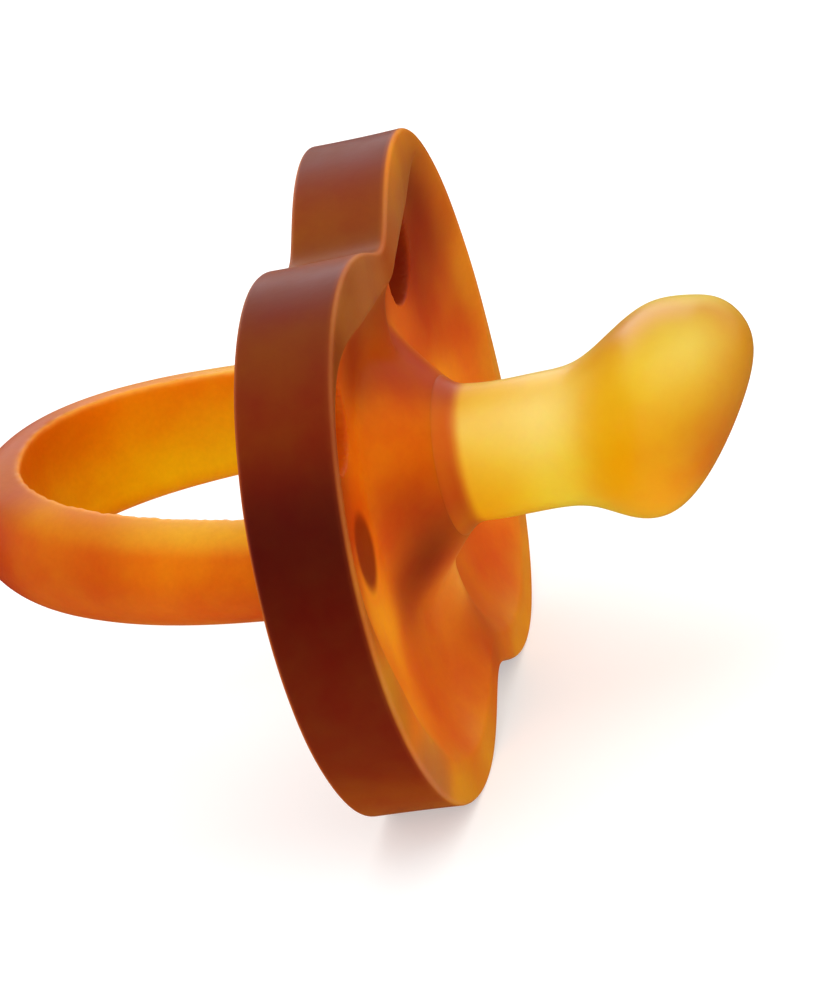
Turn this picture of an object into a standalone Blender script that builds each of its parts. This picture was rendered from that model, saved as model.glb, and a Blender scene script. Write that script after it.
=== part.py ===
"""Natural rubber soother with a butterfly shield, an orthodontic teat and a D-shaped ring handle.

Frame: +Z up, X across the shield, the teat points to -Y and the ring handle to +Y. The soother stands on the
undersides of its two lobes, on Z = 0, and the origin is the bottom centre of its bounding box. All lengths are metres.
"""

import math

import bmesh
import bpy
import numpy as np

MM = 0.001

# ---- placing of the shield in the frame ----
FRONT_Y = -5.19 * MM          # front land of the shield, at its middle
CENTRE_Z = 19.35 * MM         # middle of the shield above the ground

# ---- shield ----
LOBE_CENTRE_X = 10.4 * MM     # each lobe is an ellipse about this offset
LOBE_HALF_WIDTH = 15.2 * MM
LOBE_HALF_HEIGHT = 19.5 * MM
NOTCH_BLEND = 3.25 * MM       # softness of the valley between the lobes
STAND_FLAT = 0.15 * MM        # worn flat under each lobe
SHIELD_THICK = 6.9 * MM
SHIELD_BOW_RADIUS = 355 * MM  # both faces sweep back towards the lobe tips
WALL_DRAFT = 0.23 * MM        # the back outline is this much smaller all round
EDGE_BREAK = 0.35 * MM
# flat rim around the dished front: degrees from the top notch, width in millimetres
LAND_STATIONS = [
    (0, 2.2),
    (8, 2.7),
    (16, 4.0),
    (24, 4.9),
    (32, 4.9),
    (38, 3.7),
    (43, 2.3),
    (50, 1.1),
    (60, 0.6),
    (84, 0.6),
    (92, 1.5),
    (104, 2.6),
    (120, 2.9),
    (140, 3.2),
    (160, 3.0),
    (172, 2.4),
    (180, 2.0),
]
DISH_DEPTH = 2.8 * MM
DISH_POWER = 5.0
DISH_POWER_SHOULDER = 10.0    # the dish is steepest under the two shoulders
SADDLE_DEPTH = 1.2 * MM       # ridge from the boss to each notch, below the land
SADDLE_ANGLE = math.radians(15)

# ---- boss that carries the teat ----
AXIS_RISE = 0.27 * MM         # teat axis above the middle of the shield
BOSS_FACE = -1.5 * MM         # front of the boss, measured from the land
BOSS_TOP_RADIUS = 6.3 * MM
BOSS_FOOT_RADIUS = 10.4 * MM
SOCKET_RADIUS = 5.1 * MM
SOCKET_MOUTH_RADIUS = 5.55 * MM
PLUG_BORE_RADIUS = 3.5 * MM
PLUG_SEAT_RADIUS = 5.5 * MM
PLUG_SEAT_DEPTH = 1.5 * MM

# ---- vents through the shield ----
VENT_X = 13.0 * MM
VENT_RISE = 9.8 * MM
VENT_RADIUS = 3.05 * MM

# ---- teat: stations forward of the land, rise of the centre, half height, half width over half height ----
TEAT_STATIONS = [
    (1.1, 0.29, 4.80, 1.00),
    (4.35, 0.17, 4.69, 1.00),
    (7.6, 0.28, 4.70, 1.02),
    (10.25, 0.28, 5.04, 1.08),
    (12.85, 0.51, 6.39, 1.15),
    (15.9, 1.43, 7.66, 1.21),
    (18.95, 2.86, 7.36, 1.32),
    (21.35, 4.21, 6.60, 1.48),
    (22.9, 4.84, 5.70, 1.62),
]
TEAT_TIP_POWER = 4.1
TEAT_WALL = 1.6 * MM
ROOT_RADIUS = 4.8 * MM        # ball end of the neck, in the socket
ROOT_END = 2.9 * MM           # the ball is cut off this far behind the pivot

# ---- ring handle, a D section with its flat face inside ----
RING_INNER_HALF = 11.73 * MM  # inner top edge, half the width of the opening
RING_INNER_END = 28.94 * MM   # inner top edge, from the land back to the end of the loop
RING_STRAIGHT_END = 9.46 * MM
RING_POWER_X = 2.335
RING_POWER_Y = 1.964
RING_RISE_AT = 6.5 * MM
RING_RISE = -0.56 * MM        # middle of the section at RING_RISE_AT
RING_PITCH = 0.081            # the loop climbs slightly towards its end
RING_HEIGHT_ROOT = 7.34 * MM
RING_HEIGHT_END = 8.79 * MM
RING_THICK_ROOT = 4.36 * MM
RING_THICK_END = 4.70 * MM
RING_INNER_LEAN = 0.082       # radians, the opening is wider at the top
RING_BULGE_POWER = 0.943
KNUCKLE_THICK = 3.0 * MM
KNUCKLE_GAP = 0.3 * MM
KNUCKLE_BACK = 0.6 * MM       # pivot behind the back face of the shield

# ---- plug behind the teat ----
PLUG_HEAD_RADIUS = 5.2 * MM
PLUG_STEM_RADIUS = 3.2 * MM
PLUG_HEAD_THICK = 1.2 * MM
PLUG_STEM_LENGTH = 1.5 * MM
PLUG_AIR_RADIUS = 0.6 * MM

# ---- mesh density ----
SHIELD_SEGMENTS = 96
TEAT_SEGMENTS = 28
TEAT_RINGS = 24
RING_HALF_SECTIONS = 34
RING_FACETS = 8


def clear_scene():
    for obj in list(bpy.data.objects):
        bpy.data.objects.remove(obj, do_unlink=True)


def rubber(name, colour, roughness):
    mat = bpy.data.materials.new(name)
    mat.use_nodes = True
    bsdf = mat.node_tree.nodes["Principled BSDF"]
    bsdf.inputs["Base Color"].default_value = (*colour, 1.0)
    bsdf.inputs["Roughness"].default_value = roughness
    bsdf.inputs["Metallic"].default_value = 0.0
    mat.diffuse_color = (*colour, 1.0)
    return mat


def add_mesh(name, verts, faces, material, origin=(0.0, 0.0, 0.0)):
    """A closed mesh with its normals out, and its object origin at a pivot."""
    mesh = bpy.data.meshes.new(name)
    o = np.array(origin)
    mesh.from_pydata([tuple(np.array(v) - o) for v in verts], [], faces)
    bm = bmesh.new()
    bm.from_mesh(mesh)
    bmesh.ops.recalc_face_normals(bm, faces=bm.faces)
    bm.to_mesh(mesh)
    bm.free()
    obj = bpy.data.objects.new(name, mesh)
    obj.location = origin
    bpy.context.collection.objects.link(obj)
    if material is not None:
        mesh.materials.append(material)
    mesh.shade_smooth()
    mesh.set_sharp_from_angle(angle=math.radians(35))
    return obj


def bridge(a, b):
    """Quads between two vertex loops of equal length."""
    n = len(a)
    return [(a[j], a[(j + 1) % n], b[(j + 1) % n], b[j]) for j in range(n)]


def natural_spline(xs, ys, x):
    """Cubic spline through the stations with free ends."""
    xs, ys = np.asarray(xs, float), np.asarray(ys, float)
    n = len(xs)
    h = np.diff(xs)
    a = np.zeros((n, n))
    b = np.zeros(n)
    a[0, 0] = a[-1, -1] = 1.0
    for i in range(1, n - 1):
        a[i, i - 1], a[i, i], a[i, i + 1] = h[i - 1], 2 * (h[i - 1] + h[i]), h[i]
        b[i] = 6 * ((ys[i + 1] - ys[i]) / h[i] - (ys[i] - ys[i - 1]) / h[i - 1])
    m = np.linalg.solve(a, b)
    k = int(np.clip(np.searchsorted(xs, x) - 1, 0, n - 2))
    t0, t1 = xs[k + 1] - x, x - xs[k]
    return (
        m[k] * t0**3 / (6 * h[k])
        + m[k + 1] * t1**3 / (6 * h[k])
        + (ys[k] / h[k] - m[k] * h[k] / 6) * t0
        + (ys[k + 1] / h[k] - m[k + 1] * h[k] / 6) * t1
    )


# ------------------------------------------------------------------ shield


def bow(x):
    return x * x / (2 * SHIELD_BOW_RADIUS)


def outline_radius(phi):
    """Distance from the middle to the outline; phi is 0 at the top notch."""
    s, c = math.sin(phi), math.cos(phi)
    radii = []
    for cx in (LOBE_CENTRE_X, -LOBE_CENTRE_X):
        a, b = LOBE_HALF_WIDTH, LOBE_HALF_HEIGHT
        qa = (s / a) ** 2 + (c / b) ** 2
        qb = -2 * s * cx / a**2
        qc = (cx / a) ** 2 - 1
        radii.append((-qb + math.sqrt(qb * qb - 4 * qa * qc)) / (2 * qa))
    k = NOTCH_BLEND
    top = max(radii)
    return top + k * math.log(sum(math.exp((r - top) / k) for r in radii))


def fold_angle(phi):
    """Angle from the nearer notch, 0 to pi/2."""
    p = abs(math.atan2(math.sin(phi), math.cos(phi)))
    return min(p, math.pi - p)


def land_width(phi):
    """Flat rim: broad on the two upper shoulders, almost nothing at the sides, and broad again below."""
    degrees, widths = zip(*LAND_STATIONS)
    total = 0.0
    for shift in (-4.0, -2.0, 0.0, 2.0, 4.0):
        p = math.degrees(abs(math.atan2(math.sin(phi), math.cos(phi)))) + shift
        total += float(np.interp(180 - abs(180 - abs(p)), degrees, widths))
    return 0.2 * total * MM


def dish_depth(r, phi):
    edge = outline_radius(phi) - land_width(phi)
    fold = fold_angle(phi)
    full = DISH_DEPTH - (DISH_DEPTH - SADDLE_DEPTH) * math.exp(-((fold / SADDLE_ANGLE) ** 2))
    power = DISH_POWER
    if math.cos(phi) > 0:
        power += (DISH_POWER_SHOULDER - DISH_POWER) * math.exp(-((fold / 0.62) ** 4))
    return full * max(0.0, 1 - (r / edge) ** power)


def front_depth(r, phi):
    """Depth behind the land of the dished front and the boss flare."""
    floor = dish_depth(r, phi)
    if r <= BOSS_TOP_RADIUS:
        return BOSS_FACE
    if r >= BOSS_FOOT_RADIUS:
        return floor
    t = (BOSS_FOOT_RADIUS - r) / (BOSS_FOOT_RADIUS - BOSS_TOP_RADIUS)
    return floor - (floor - BOSS_FACE) * t**1.45


def clamp_low(z):
    return max(z, -LOBE_HALF_HEIGHT + STAND_FLAT)


def draft_at(phi):
    """The wall stands square under the lobes, where the soother stands."""
    x = outline_radius(phi) * math.sin(phi)
    if math.cos(phi) > 0:
        return WALL_DRAFT
    return WALL_DRAFT * (1 - math.exp(-(((abs(x) - LOBE_CENTRE_X) / (5 * MM)) ** 2)))


def build_shield(material):
    n = SHIELD_SEGMENTS
    angles = [2 * math.pi * j / n for j in range(n)]
    verts, loops = [], []

    def add_loop(fn):
        start = len(verts)
        for phi in angles:
            x, y, z = fn(phi)
            verts.append((x, FRONT_Y + y, CENTRE_Z + clamp_low(z)))
        loops.append(list(range(start, len(verts))))

    def at(r, phi, y, rise=0.0):
        x = r * math.sin(phi)
        return (x, y + bow(x), r * math.cos(phi) + rise)

    for r in (BOSS_TOP_RADIUS, 6.8 * MM, 7.4 * MM, 8.2 * MM, 9.2 * MM, BOSS_FOOT_RADIUS):
        add_loop(lambda p, r=r: at(r, p, front_depth(r, p), AXIS_RISE))
    for f in (0.3, 0.55, 0.75, 0.9, 1.0):

        def dish(p, f=f):
            edge = outline_radius(p) - land_width(p)
            r = BOSS_FOOT_RADIUS + (edge - BOSS_FOOT_RADIUS) * f
            return at(r, p, dish_depth(r, p), AXIS_RISE * (1 - f))

        add_loop(dish)
    add_loop(lambda p: at(outline_radius(p) - EDGE_BREAK, p, 0.0))
    add_loop(lambda p: at(outline_radius(p), p, EDGE_BREAK))
    add_loop(lambda p: at(outline_radius(p) - draft_at(p), p, SHIELD_THICK - EDGE_BREAK))
    add_loop(lambda p: at(outline_radius(p) - draft_at(p) - EDGE_BREAK, p, SHIELD_THICK))
    for f in (0.66, 0.33):
        add_loop(lambda p, f=f: at((outline_radius(p) - WALL_DRAFT - EDGE_BREAK) * f, p, SHIELD_THICK))

    faces = []
    for a, b in zip(loops, loops[1:]):
        faces += bridge(a, b)
    front_middle = len(verts)
    verts.append((0.0, FRONT_Y + BOSS_FACE, CENTRE_Z + AXIS_RISE))
    back_middle = len(verts)
    verts.append((0.0, FRONT_Y + SHIELD_THICK, CENTRE_Z))
    first, last = loops[0], loops[-1]
    for j in range(n):
        k = (j + 1) % n
        faces.append((front_middle, first[k], first[j]))
        faces.append((back_middle, last[j], last[k]))
    return add_mesh("shield", verts, faces, material)


def turned(name, profile, centre, material=None, segments=40):
    """A closed solid turned about a line along Y through centre; profile is (radius, y), starting and ending at 0."""
    verts, faces, loops = [], [], []
    cx, cy, cz = centre
    for r, y in profile:
        if r == 0.0:
            loops.append([len(verts)])
            verts.append((cx, cy + y, cz))
            continue
        start = len(verts)
        for j in range(segments):
            t = 2 * math.pi * j / segments
            verts.append((cx + r * math.sin(t), cy + y, cz + r * math.cos(t)))
        loops.append(list(range(start, len(verts))))
    for a, b in zip(loops, loops[1:]):
        if len(a) == 1:
            faces += [(a[0], b[(j + 1) % len(b)], b[j]) for j in range(len(b))]
        elif len(b) == 1:
            faces += [(a[j], a[(j + 1) % len(a)], b[0]) for j in range(len(a))]
        else:
            faces += bridge(a, b)
    return add_mesh(name, verts, faces, material, origin=centre)


def cross_pin(name, x0, x1, radius, y, z, segments=40):
    """A cylinder along X, used to sink the seat of a knuckle."""
    verts, a, b = [], [], []
    for x, loop in ((x0, a), (x1, b)):
        for j in range(segments):
            t = 2 * math.pi * j / segments
            loop.append(len(verts))
            verts.append((x, y + radius * math.cos(t), z + radius * math.sin(t)))
    faces = bridge(a, b) + [tuple(reversed(a)), tuple(b)]
    return add_mesh(name, verts, faces, None)


def cut(target, cutter):
    cutter.hide_render = True
    cutter.display_type = "WIRE"
    mod = target.modifiers.new("cut_" + cutter.name, "BOOLEAN")
    mod.operation = "DIFFERENCE"
    mod.solver = "EXACT"
    mod.object = cutter


# ------------------------------------------------------------------ teat

PIVOT = (0.0, FRONT_Y + BOSS_FACE, CENTRE_Z + AXIS_RISE)


def teat_section(d):
    """Centre rise, half height and half width at distance d forward of the land, all in metres."""
    xs = [s[0] for s in TEAT_STATIONS]
    dm = d / MM
    q = min(max(dm, xs[0]), xs[-1])
    rise = natural_spline(xs, [s[1] for s in TEAT_STATIONS], q) * MM
    high = natural_spline(xs, [s[2] for s in TEAT_STATIONS], q) * MM
    ratio = float(np.interp(q, xs, [s[3] for s in TEAT_STATIONS]))
    f = (q - xs[0]) / (xs[-1] - xs[0])
    close = math.sqrt(max(0.0, 1 - f**TEAT_TIP_POWER))
    return rise, high * close, high * ratio * close


def build_teat(material):
    n = TEAT_SEGMENTS
    x0, x1 = TEAT_STATIONS[0][0] * MM, TEAT_STATIONS[-1][0] * MM
    neck = x0 + 0.9 * MM
    verts, loops = [], []

    def add_loop(y, cz, high, wide):
        start = len(verts)
        for j in range(n):
            t = 2 * math.pi * j / n
            verts.append((wide * math.sin(t), y, cz + high * math.cos(t)))
        loops.append(list(range(start, len(verts))))

    # outer skin: cut ball at the root, then the neck and the bulb
    end_radius = math.sqrt(ROOT_RADIUS**2 - ROOT_END**2)
    for back in (ROOT_END, 2.1 * MM, 1.1 * MM, 0.0):
        r = math.sqrt(ROOT_RADIUS**2 - back**2)
        add_loop(PIVOT[1] + back, PIVOT[2], r, r)
    for i in range(TEAT_RINGS):
        f = math.sin(0.5 * math.pi * (i / TEAT_RINGS)) ** 0.9
        d = neck + (x1 - neck) * f
        rise, high, wide = teat_section(d)
        add_loop(FRONT_Y - d, CENTRE_Z + rise, high, wide)
    tip_rise = teat_section(x1)[0]
    outer_tip = len(verts)
    verts.append((0.0, FRONT_Y - x1, CENTRE_Z + tip_rise))
    faces = []
    for a, b in zip(loops, loops[1:]):
        faces += bridge(a, b)
    faces += [(loops[-1][j], loops[-1][(j + 1) % n], outer_tip) for j in range(n)]
    root_loop = loops[0]

    # hollow: open at the root, closed inside the bulb
    loops = []
    bore = ROOT_RADIUS - TEAT_WALL
    add_loop(PIVOT[1] + ROOT_END, PIVOT[2], min(bore, end_radius - 0.5 * MM), min(bore, end_radius - 0.5 * MM))
    add_loop(PIVOT[1], PIVOT[2], bore, bore)
    steps = 16
    inner_end = x1 - 1.9 * MM
    for i in range(steps):
        f = math.sin(0.5 * math.pi * (i / steps)) ** 0.9
        d = neck + (inner_end - neck) * f
        g = (d - neck) / (inner_end - neck)
        rise, high, wide = teat_section(d)
        close = math.sqrt(max(0.0, 1 - g**6.0))
        add_loop(FRONT_Y - d, CENTRE_Z + rise, (high - TEAT_WALL) * close, (wide - TEAT_WALL) * close)
    inner_tip = len(verts)
    verts.append((0.0, FRONT_Y - inner_end, CENTRE_Z + teat_section(inner_end)[0]))
    for a, b in zip(loops, loops[1:]):
        faces += bridge(a, b)
    faces += [(loops[-1][j], loops[-1][(j + 1) % n], inner_tip) for j in range(n)]
    faces += bridge(root_loop, loops[0])
    return add_mesh("teat", verts, faces, material, origin=PIVOT)


# ------------------------------------------------------------------ ring handle

KNUCKLE_Y = SHIELD_THICK + KNUCKLE_BACK
KNUCKLE_Z = RING_RISE + RING_PITCH * (KNUCKLE_Y - RING_RISE_AT)
RING_PIVOT = (0.0, FRONT_Y + KNUCKLE_Y, CENTRE_Z + KNUCKLE_Z)


def ring_plan():
    """Half of the inner top edge, from the knuckle to the end of the loop, with its outward normal."""
    pts = []
    steps = 200
    for i in range(steps + 1):
        t = 0.5 * math.pi * i / steps
        x = RING_INNER_HALF * math.cos(t) ** (2 / RING_POWER_X) if i < steps else 0.0
        y = RING_STRAIGHT_END + (RING_INNER_END - RING_STRAIGHT_END) * math.sin(t) ** (2 / RING_POWER_Y)
        pts.append((x, y))
    start = KNUCKLE_Y + 1.4 * MM
    pts = [(RING_INNER_HALF, start)] + [p for p in pts if p[1] > start + 0.2 * MM]
    p = np.array(pts)
    length = np.concatenate([[0], np.cumsum(np.hypot(*np.diff(p, axis=0).T))])
    s = np.linspace(0, length[-1], RING_HALF_SECTIONS)
    x, y = np.interp(s, length, p[:, 0]), np.interp(s, length, p[:, 1])
    dx, dy = np.gradient(x), np.gradient(y)
    size = np.hypot(dx, dy)
    nx, ny = dy / size, -dx / size
    nx[-1], ny[-1] = 0.0, 1.0
    nx[0], ny[0] = 1.0, 0.0
    return x, y, nx, ny


def ring_section(high, thick):
    """Points (outward, up) of the D section: the top edge, down the inner face, the bottom edge, up the outside."""
    inner, outer = [], []
    for k in range(RING_FACETS + 1):
        t = math.pi * k / RING_FACETS
        z = 0.5 * high * math.cos(t)
        base = -(0.5 * high - z) * math.tan(RING_INNER_LEAN)
        inner.append((base, z))
        outer.append((base + thick * max(math.sin(t), 0.0) ** RING_BULGE_POWER, z))
    return inner, outer


def build_ring(material):
    x, y, nx, ny = ring_plan()
    stations = []
    # knuckle: a narrower D whose end is round about the pivot
    stations.append(("end", RING_INNER_HALF, KNUCKLE_Y, 1.0, 0.0, RING_HEIGHT_ROOT, KNUCKLE_THICK))
    stations.append(("plain", RING_INNER_HALF, KNUCKLE_Y + 0.9 * MM, 1.0, 0.0, RING_HEIGHT_ROOT, KNUCKLE_THICK))
    for i in range(len(x)):
        w = min(max((y[i] - 8.67 * MM) / (RING_INNER_END - 8.67 * MM), 0.0), 1.0)
        high = RING_HEIGHT_ROOT + (RING_HEIGHT_END - RING_HEIGHT_ROOT) * w
        thick = RING_THICK_ROOT + (RING_THICK_END - RING_THICK_ROOT) * w
        stations.append(("plain", x[i], y[i], nx[i], ny[i], high, thick))
    full = [(s, 1.0) for s in stations] + [(s, -1.0) for s in reversed(stations[:-1])]

    verts, loops = [], []
    m = RING_FACETS
    for (kind, px, py, ax, ay, high, thick), side in full:
        inner, outer = ring_section(high, thick)
        points = inner + outer[-2:0:-1]
        start = len(verts)
        for out, up in points:
            qx, qy = px + ax * out, py + ay * out
            if kind == "end":
                qy = KNUCKLE_Y - math.sqrt(max((0.5 * high) ** 2 - up**2, 0.0))
            rise = RING_RISE + RING_PITCH * (qy - RING_RISE_AT) if kind == "plain" else KNUCKLE_Z
            verts.append((side * qx, FRONT_Y + qy, CENTRE_Z + rise + up))
        loops.append(list(range(start, len(verts))))
    faces = []
    for a, b in zip(loops, loops[1:]):
        faces += bridge(a, b)
    for loop in (loops[0], loops[-1]):
        inner, outer = loop[: m + 1], [loop[0]] + loop[: m : -1] + [loop[m]]
        faces.append((inner[0], inner[1], outer[1]))
        for k in range(1, m - 1):
            faces.append((inner[k], inner[k + 1], outer[k + 1], outer[k]))
        faces.append((inner[m - 1], inner[m], outer[m - 1]))
    return add_mesh("ring_handle", verts, faces, material, origin=RING_PIVOT)


# ------------------------------------------------------------------ assembly


def main():
    clear_scene()
    amber = rubber("shield_rubber", (0.42, 0.10, 0.01), 0.42)
    honey = rubber("teat_rubber", (0.90, 0.50, 0.07), 0.38)
    orange = rubber("ring_rubber", (0.75, 0.26, 0.02), 0.42)
    dark = rubber("plug_rubber", (0.50, 0.14, 0.02), 0.45)

    shield = build_shield(amber)
    sphere = []
    steps = 10
    first = math.asin(0.5 * MM / SOCKET_RADIUS)
    last = math.acos(PLUG_BORE_RADIUS / SOCKET_RADIUS)
    for i in range(steps + 1):
        t = first + (last - first) * i / steps
        sphere.append((SOCKET_RADIUS * math.cos(t), SOCKET_RADIUS * math.sin(t)))
    back = SHIELD_THICK - BOSS_FACE
    socket = turned(
        "socket_cutter",
        [(0.0, -1.0 * MM), (SOCKET_MOUTH_RADIUS, -1.0 * MM), (SOCKET_MOUTH_RADIUS, 0.0)]
        + sphere
        + [
            (PLUG_BORE_RADIUS, back - PLUG_SEAT_DEPTH),
            (PLUG_SEAT_RADIUS, back - PLUG_SEAT_DEPTH),
            (PLUG_SEAT_RADIUS, back + 1.0 * MM),
            (0.0, back + 1.0 * MM),
        ],
        PIVOT,
    )
    cut(shield, socket)
    for side, name in ((-1.0, "left"), (1.0, "right")):
        vent = turned(
            "vent_cutter_" + name,
            [(0.0, -2.0 * MM), (VENT_RADIUS, -2.0 * MM), (VENT_RADIUS, 12.0 * MM), (0.0, 12.0 * MM)],
            (side * VENT_X, FRONT_Y, CENTRE_Z + VENT_RISE),
            segments=28,
        )
        cut(shield, vent)
        lean = RING_HEIGHT_ROOT * math.tan(RING_INNER_LEAN)
        x0 = side * (RING_INNER_HALF - lean - KNUCKLE_GAP)
        x1 = side * (RING_INNER_HALF + KNUCKLE_THICK + KNUCKLE_GAP)
        seat = cross_pin(
            "knuckle_cutter_" + name,
            min(x0, x1),
            max(x0, x1),
            0.5 * RING_HEIGHT_ROOT + KNUCKLE_GAP,
            RING_PIVOT[1],
            RING_PIVOT[2],
        )
        cut(shield, seat)

    build_teat(honey)
    build_ring(orange)

    head_back = SHIELD_THICK
    head_front = SHIELD_THICK - PLUG_HEAD_THICK
    plug = turned(
        "teat_plug",
        [
            (PLUG_AIR_RADIUS, head_back),
            (PLUG_HEAD_RADIUS - 0.25 * MM, head_back),
            (PLUG_HEAD_RADIUS, head_back - 0.25 * MM),
            (PLUG_HEAD_RADIUS, head_front),
            (PLUG_STEM_RADIUS, head_front),
            (PLUG_STEM_RADIUS, head_front - PLUG_STEM_LENGTH),
            (PLUG_AIR_RADIUS, head_front - PLUG_STEM_LENGTH),
            (PLUG_AIR_RADIUS, head_back),
        ][:-1],
        (0.0, FRONT_Y, CENTRE_Z + AXIS_RISE),
        dark,
        segments=32,
    )
    close_bore(plug, 32)


def close_bore(obj, segments):
    """Joins the first and last turned loops, so that the air channel runs through the plug."""
    bm = bmesh.new()
    bm.from_mesh(obj.data)
    bm.verts.ensure_lookup_table()
    count = len(bm.verts)
    first = [bm.verts[j] for j in range(segments)]
    last = [bm.verts[count - segments + j] for j in range(segments)]
    for j in range(segments):
        k = (j + 1) % segments
        bm.faces.new((last[j], last[k], first[k], first[j]))
    bmesh.ops.recalc_face_normals(bm, faces=bm.faces)
    bm.to_mesh(obj.data)
    bm.free()
    obj.data.shade_smooth()
    obj.data.set_sharp_from_angle(angle=math.radians(35))


main()
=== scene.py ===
import math

import bmesh
import bpy
import numpy as np
from mathutils import Matrix, Vector, noise


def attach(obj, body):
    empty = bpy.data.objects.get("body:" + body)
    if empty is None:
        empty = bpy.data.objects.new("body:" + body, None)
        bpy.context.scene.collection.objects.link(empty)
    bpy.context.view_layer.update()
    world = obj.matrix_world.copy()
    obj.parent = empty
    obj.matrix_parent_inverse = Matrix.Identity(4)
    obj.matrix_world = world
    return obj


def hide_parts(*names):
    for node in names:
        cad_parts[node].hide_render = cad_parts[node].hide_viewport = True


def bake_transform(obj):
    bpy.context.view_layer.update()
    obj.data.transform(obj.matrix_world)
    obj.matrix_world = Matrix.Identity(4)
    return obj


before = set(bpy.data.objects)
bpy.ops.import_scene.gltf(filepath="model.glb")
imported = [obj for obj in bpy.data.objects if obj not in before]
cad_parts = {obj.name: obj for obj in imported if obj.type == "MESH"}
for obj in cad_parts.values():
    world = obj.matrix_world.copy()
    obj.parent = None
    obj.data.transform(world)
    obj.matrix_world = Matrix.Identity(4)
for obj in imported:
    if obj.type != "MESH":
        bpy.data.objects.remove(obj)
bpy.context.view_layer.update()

MM = 0.001

# The lengths below are millimetres in the part's own terms: x across the shield, d behind the front land,
# u above the middle of the shield.
FRONT_Y = -5.19
CENTRE_Z = 19.35

LOBE_CENTRE_X, LOBE_HALF_WIDTH, LOBE_HALF_HEIGHT = 10.4, 15.2, 19.5
NOTCH_BLEND = 3.25
STAND_FLAT = 0.15
THICK = 6.9
BOW_RADIUS = 355.0
WALL_DRAFT = 0.23
EDGE_ROUND = 0.36
# width of the flat land at degrees from the top notch: broad shoulders, almost nothing at the sides
LAND_STATIONS = [(0, 2.2), (8, 2.7), (16, 4.0), (24, 4.9), (32, 4.9), (38, 3.7), (43, 2.3), (48, 1.2), (56, 0.5), (84, 0.5),
                 (92, 1.5), (104, 2.6), (120, 2.9), (140, 3.2), (160, 3.0), (172, 2.4), (180, 2.0)]
DISH_DEPTH, SADDLE_DEPTH, SADDLE_ANGLE = 3.0, 1.3, math.radians(15)
VENT_X, VENT_RISE, VENT_RADIUS = 13.0, 9.8, 3.05
AXIS_RISE = 0.27
PLUG_SEAT = 5.5

TEAT_STATIONS = [
    (1.1, 0.29, 4.80, 1.00),
    (4.35, 0.17, 4.69, 1.00),
    (7.6, 0.28, 4.70, 1.02),
    (10.25, 0.28, 5.04, 1.08),
    (12.85, 0.51, 6.39, 1.15),
    (15.9, 1.43, 7.66, 1.21),
    (18.95, 2.86, 7.36, 1.32),
    (21.35, 4.21, 6.60, 1.48),
    (22.9, 4.84, 5.70, 1.62),
]
TEAT_TIP_POWER = 4.1

RING_INNER_HALF, RING_INNER_END, RING_STRAIGHT_END = 11.73, 28.94, 9.46
RING_POWER_X, RING_POWER_Y = 2.335, 1.964
RING_RISE_AT, RING_RISE, RING_PITCH = 6.5, -0.56, 0.081
RING_HEIGHT_ROOT, RING_HEIGHT_END = 7.34, 8.79
RING_THICK_ROOT, RING_THICK_END = 4.36, 4.70
RING_LEAN, RING_BULGE = 0.082, 0.943


# ------------------------------------------------------------------ helpers


def to_world(p):
    """Part terms in millimetres to the frame in metres."""
    p = np.asarray(p, float)
    out = np.empty_like(p)
    out[..., 0] = p[..., 0]
    out[..., 1] = p[..., 1] + FRONT_Y
    out[..., 2] = p[..., 2] + CENTRE_Z
    return out * MM


def from_world(p):
    q = np.asarray(p, float) / MM
    q[..., 1] -= FRONT_Y
    q[..., 2] -= CENTRE_Z
    return q


def smoothstep(a, b, x):
    t = np.clip((x - a) / (b - a), 0.0, 1.0)
    return t * t * (3 - 2 * t)


def softplus(x, s):
    return s * np.logaddexp(0.0, x / s)


def loops_to_object(name, loops, cap_start=None, cap_end=None, closed=True):
    """Loops of equal length, each (n, 3) in part terms, become one smooth mesh."""
    loops = [np.asarray(l, float) for l in loops]
    n = len(loops[0])
    verts = np.concatenate(loops)
    faces = []
    for i in range(len(loops) - 1):
        a, b = i * n, (i + 1) * n
        faces += [(a + j, a + (j + 1) % n, b + (j + 1) % n, b + j) for j in range(n)]
    extra = []
    if cap_start is not None:
        k = len(verts) + len(extra)
        extra.append(cap_start)
        faces += [(k, (j + 1) % n, j) for j in range(n)]
    if cap_end is not None:
        k = len(verts) + len(extra)
        base = (len(loops) - 1) * n
        extra.append(cap_end)
        faces += [(k, base + j, base + (j + 1) % n) for j in range(n)]
    if extra:
        verts = np.concatenate([verts, np.array(extra, float)])
    return mesh_object(name, to_world(verts), faces)


def mesh_object(name, verts, faces):
    mesh = bpy.data.meshes.new(name)
    mesh.from_pydata([tuple(v) for v in verts], [], faces)
    bm = bmesh.new()
    bm.from_mesh(mesh)
    bmesh.ops.recalc_face_normals(bm, faces=bm.faces)
    bm.to_mesh(mesh)
    bm.free()
    mesh.shade_smooth()
    obj = bpy.data.objects.new(name, mesh)
    bpy.context.scene.collection.objects.link(obj)
    return obj


def positions(obj):
    co = np.zeros(len(obj.data.vertices) * 3)
    obj.data.vertices.foreach_get("co", co)
    return co.reshape(-1, 3)


def set_positions(obj, co):
    obj.data.vertices.foreach_set("co", np.asarray(co, np.float32).ravel())
    obj.data.update()


def normals(obj):
    n = np.zeros(len(obj.data.vertices) * 3)
    obj.data.vertex_normals.foreach_get("vector", n)
    return n.reshape(-1, 3)


def lumps(obj, size, height, where=None, seed=0.0):
    """Faint unevenness of a soft moulding: moves points along their normals. size and height in millimetres."""
    co, nn = positions(obj), normals(obj)
    shift = Vector((seed, seed * 0.7, seed * 1.3))
    h = np.array([noise.noise(Vector(p) / (size * MM) + shift) for p in co])
    if where is not None:
        h = h * where
    set_positions(obj, co + nn * (h * height * MM)[:, None])


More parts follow.
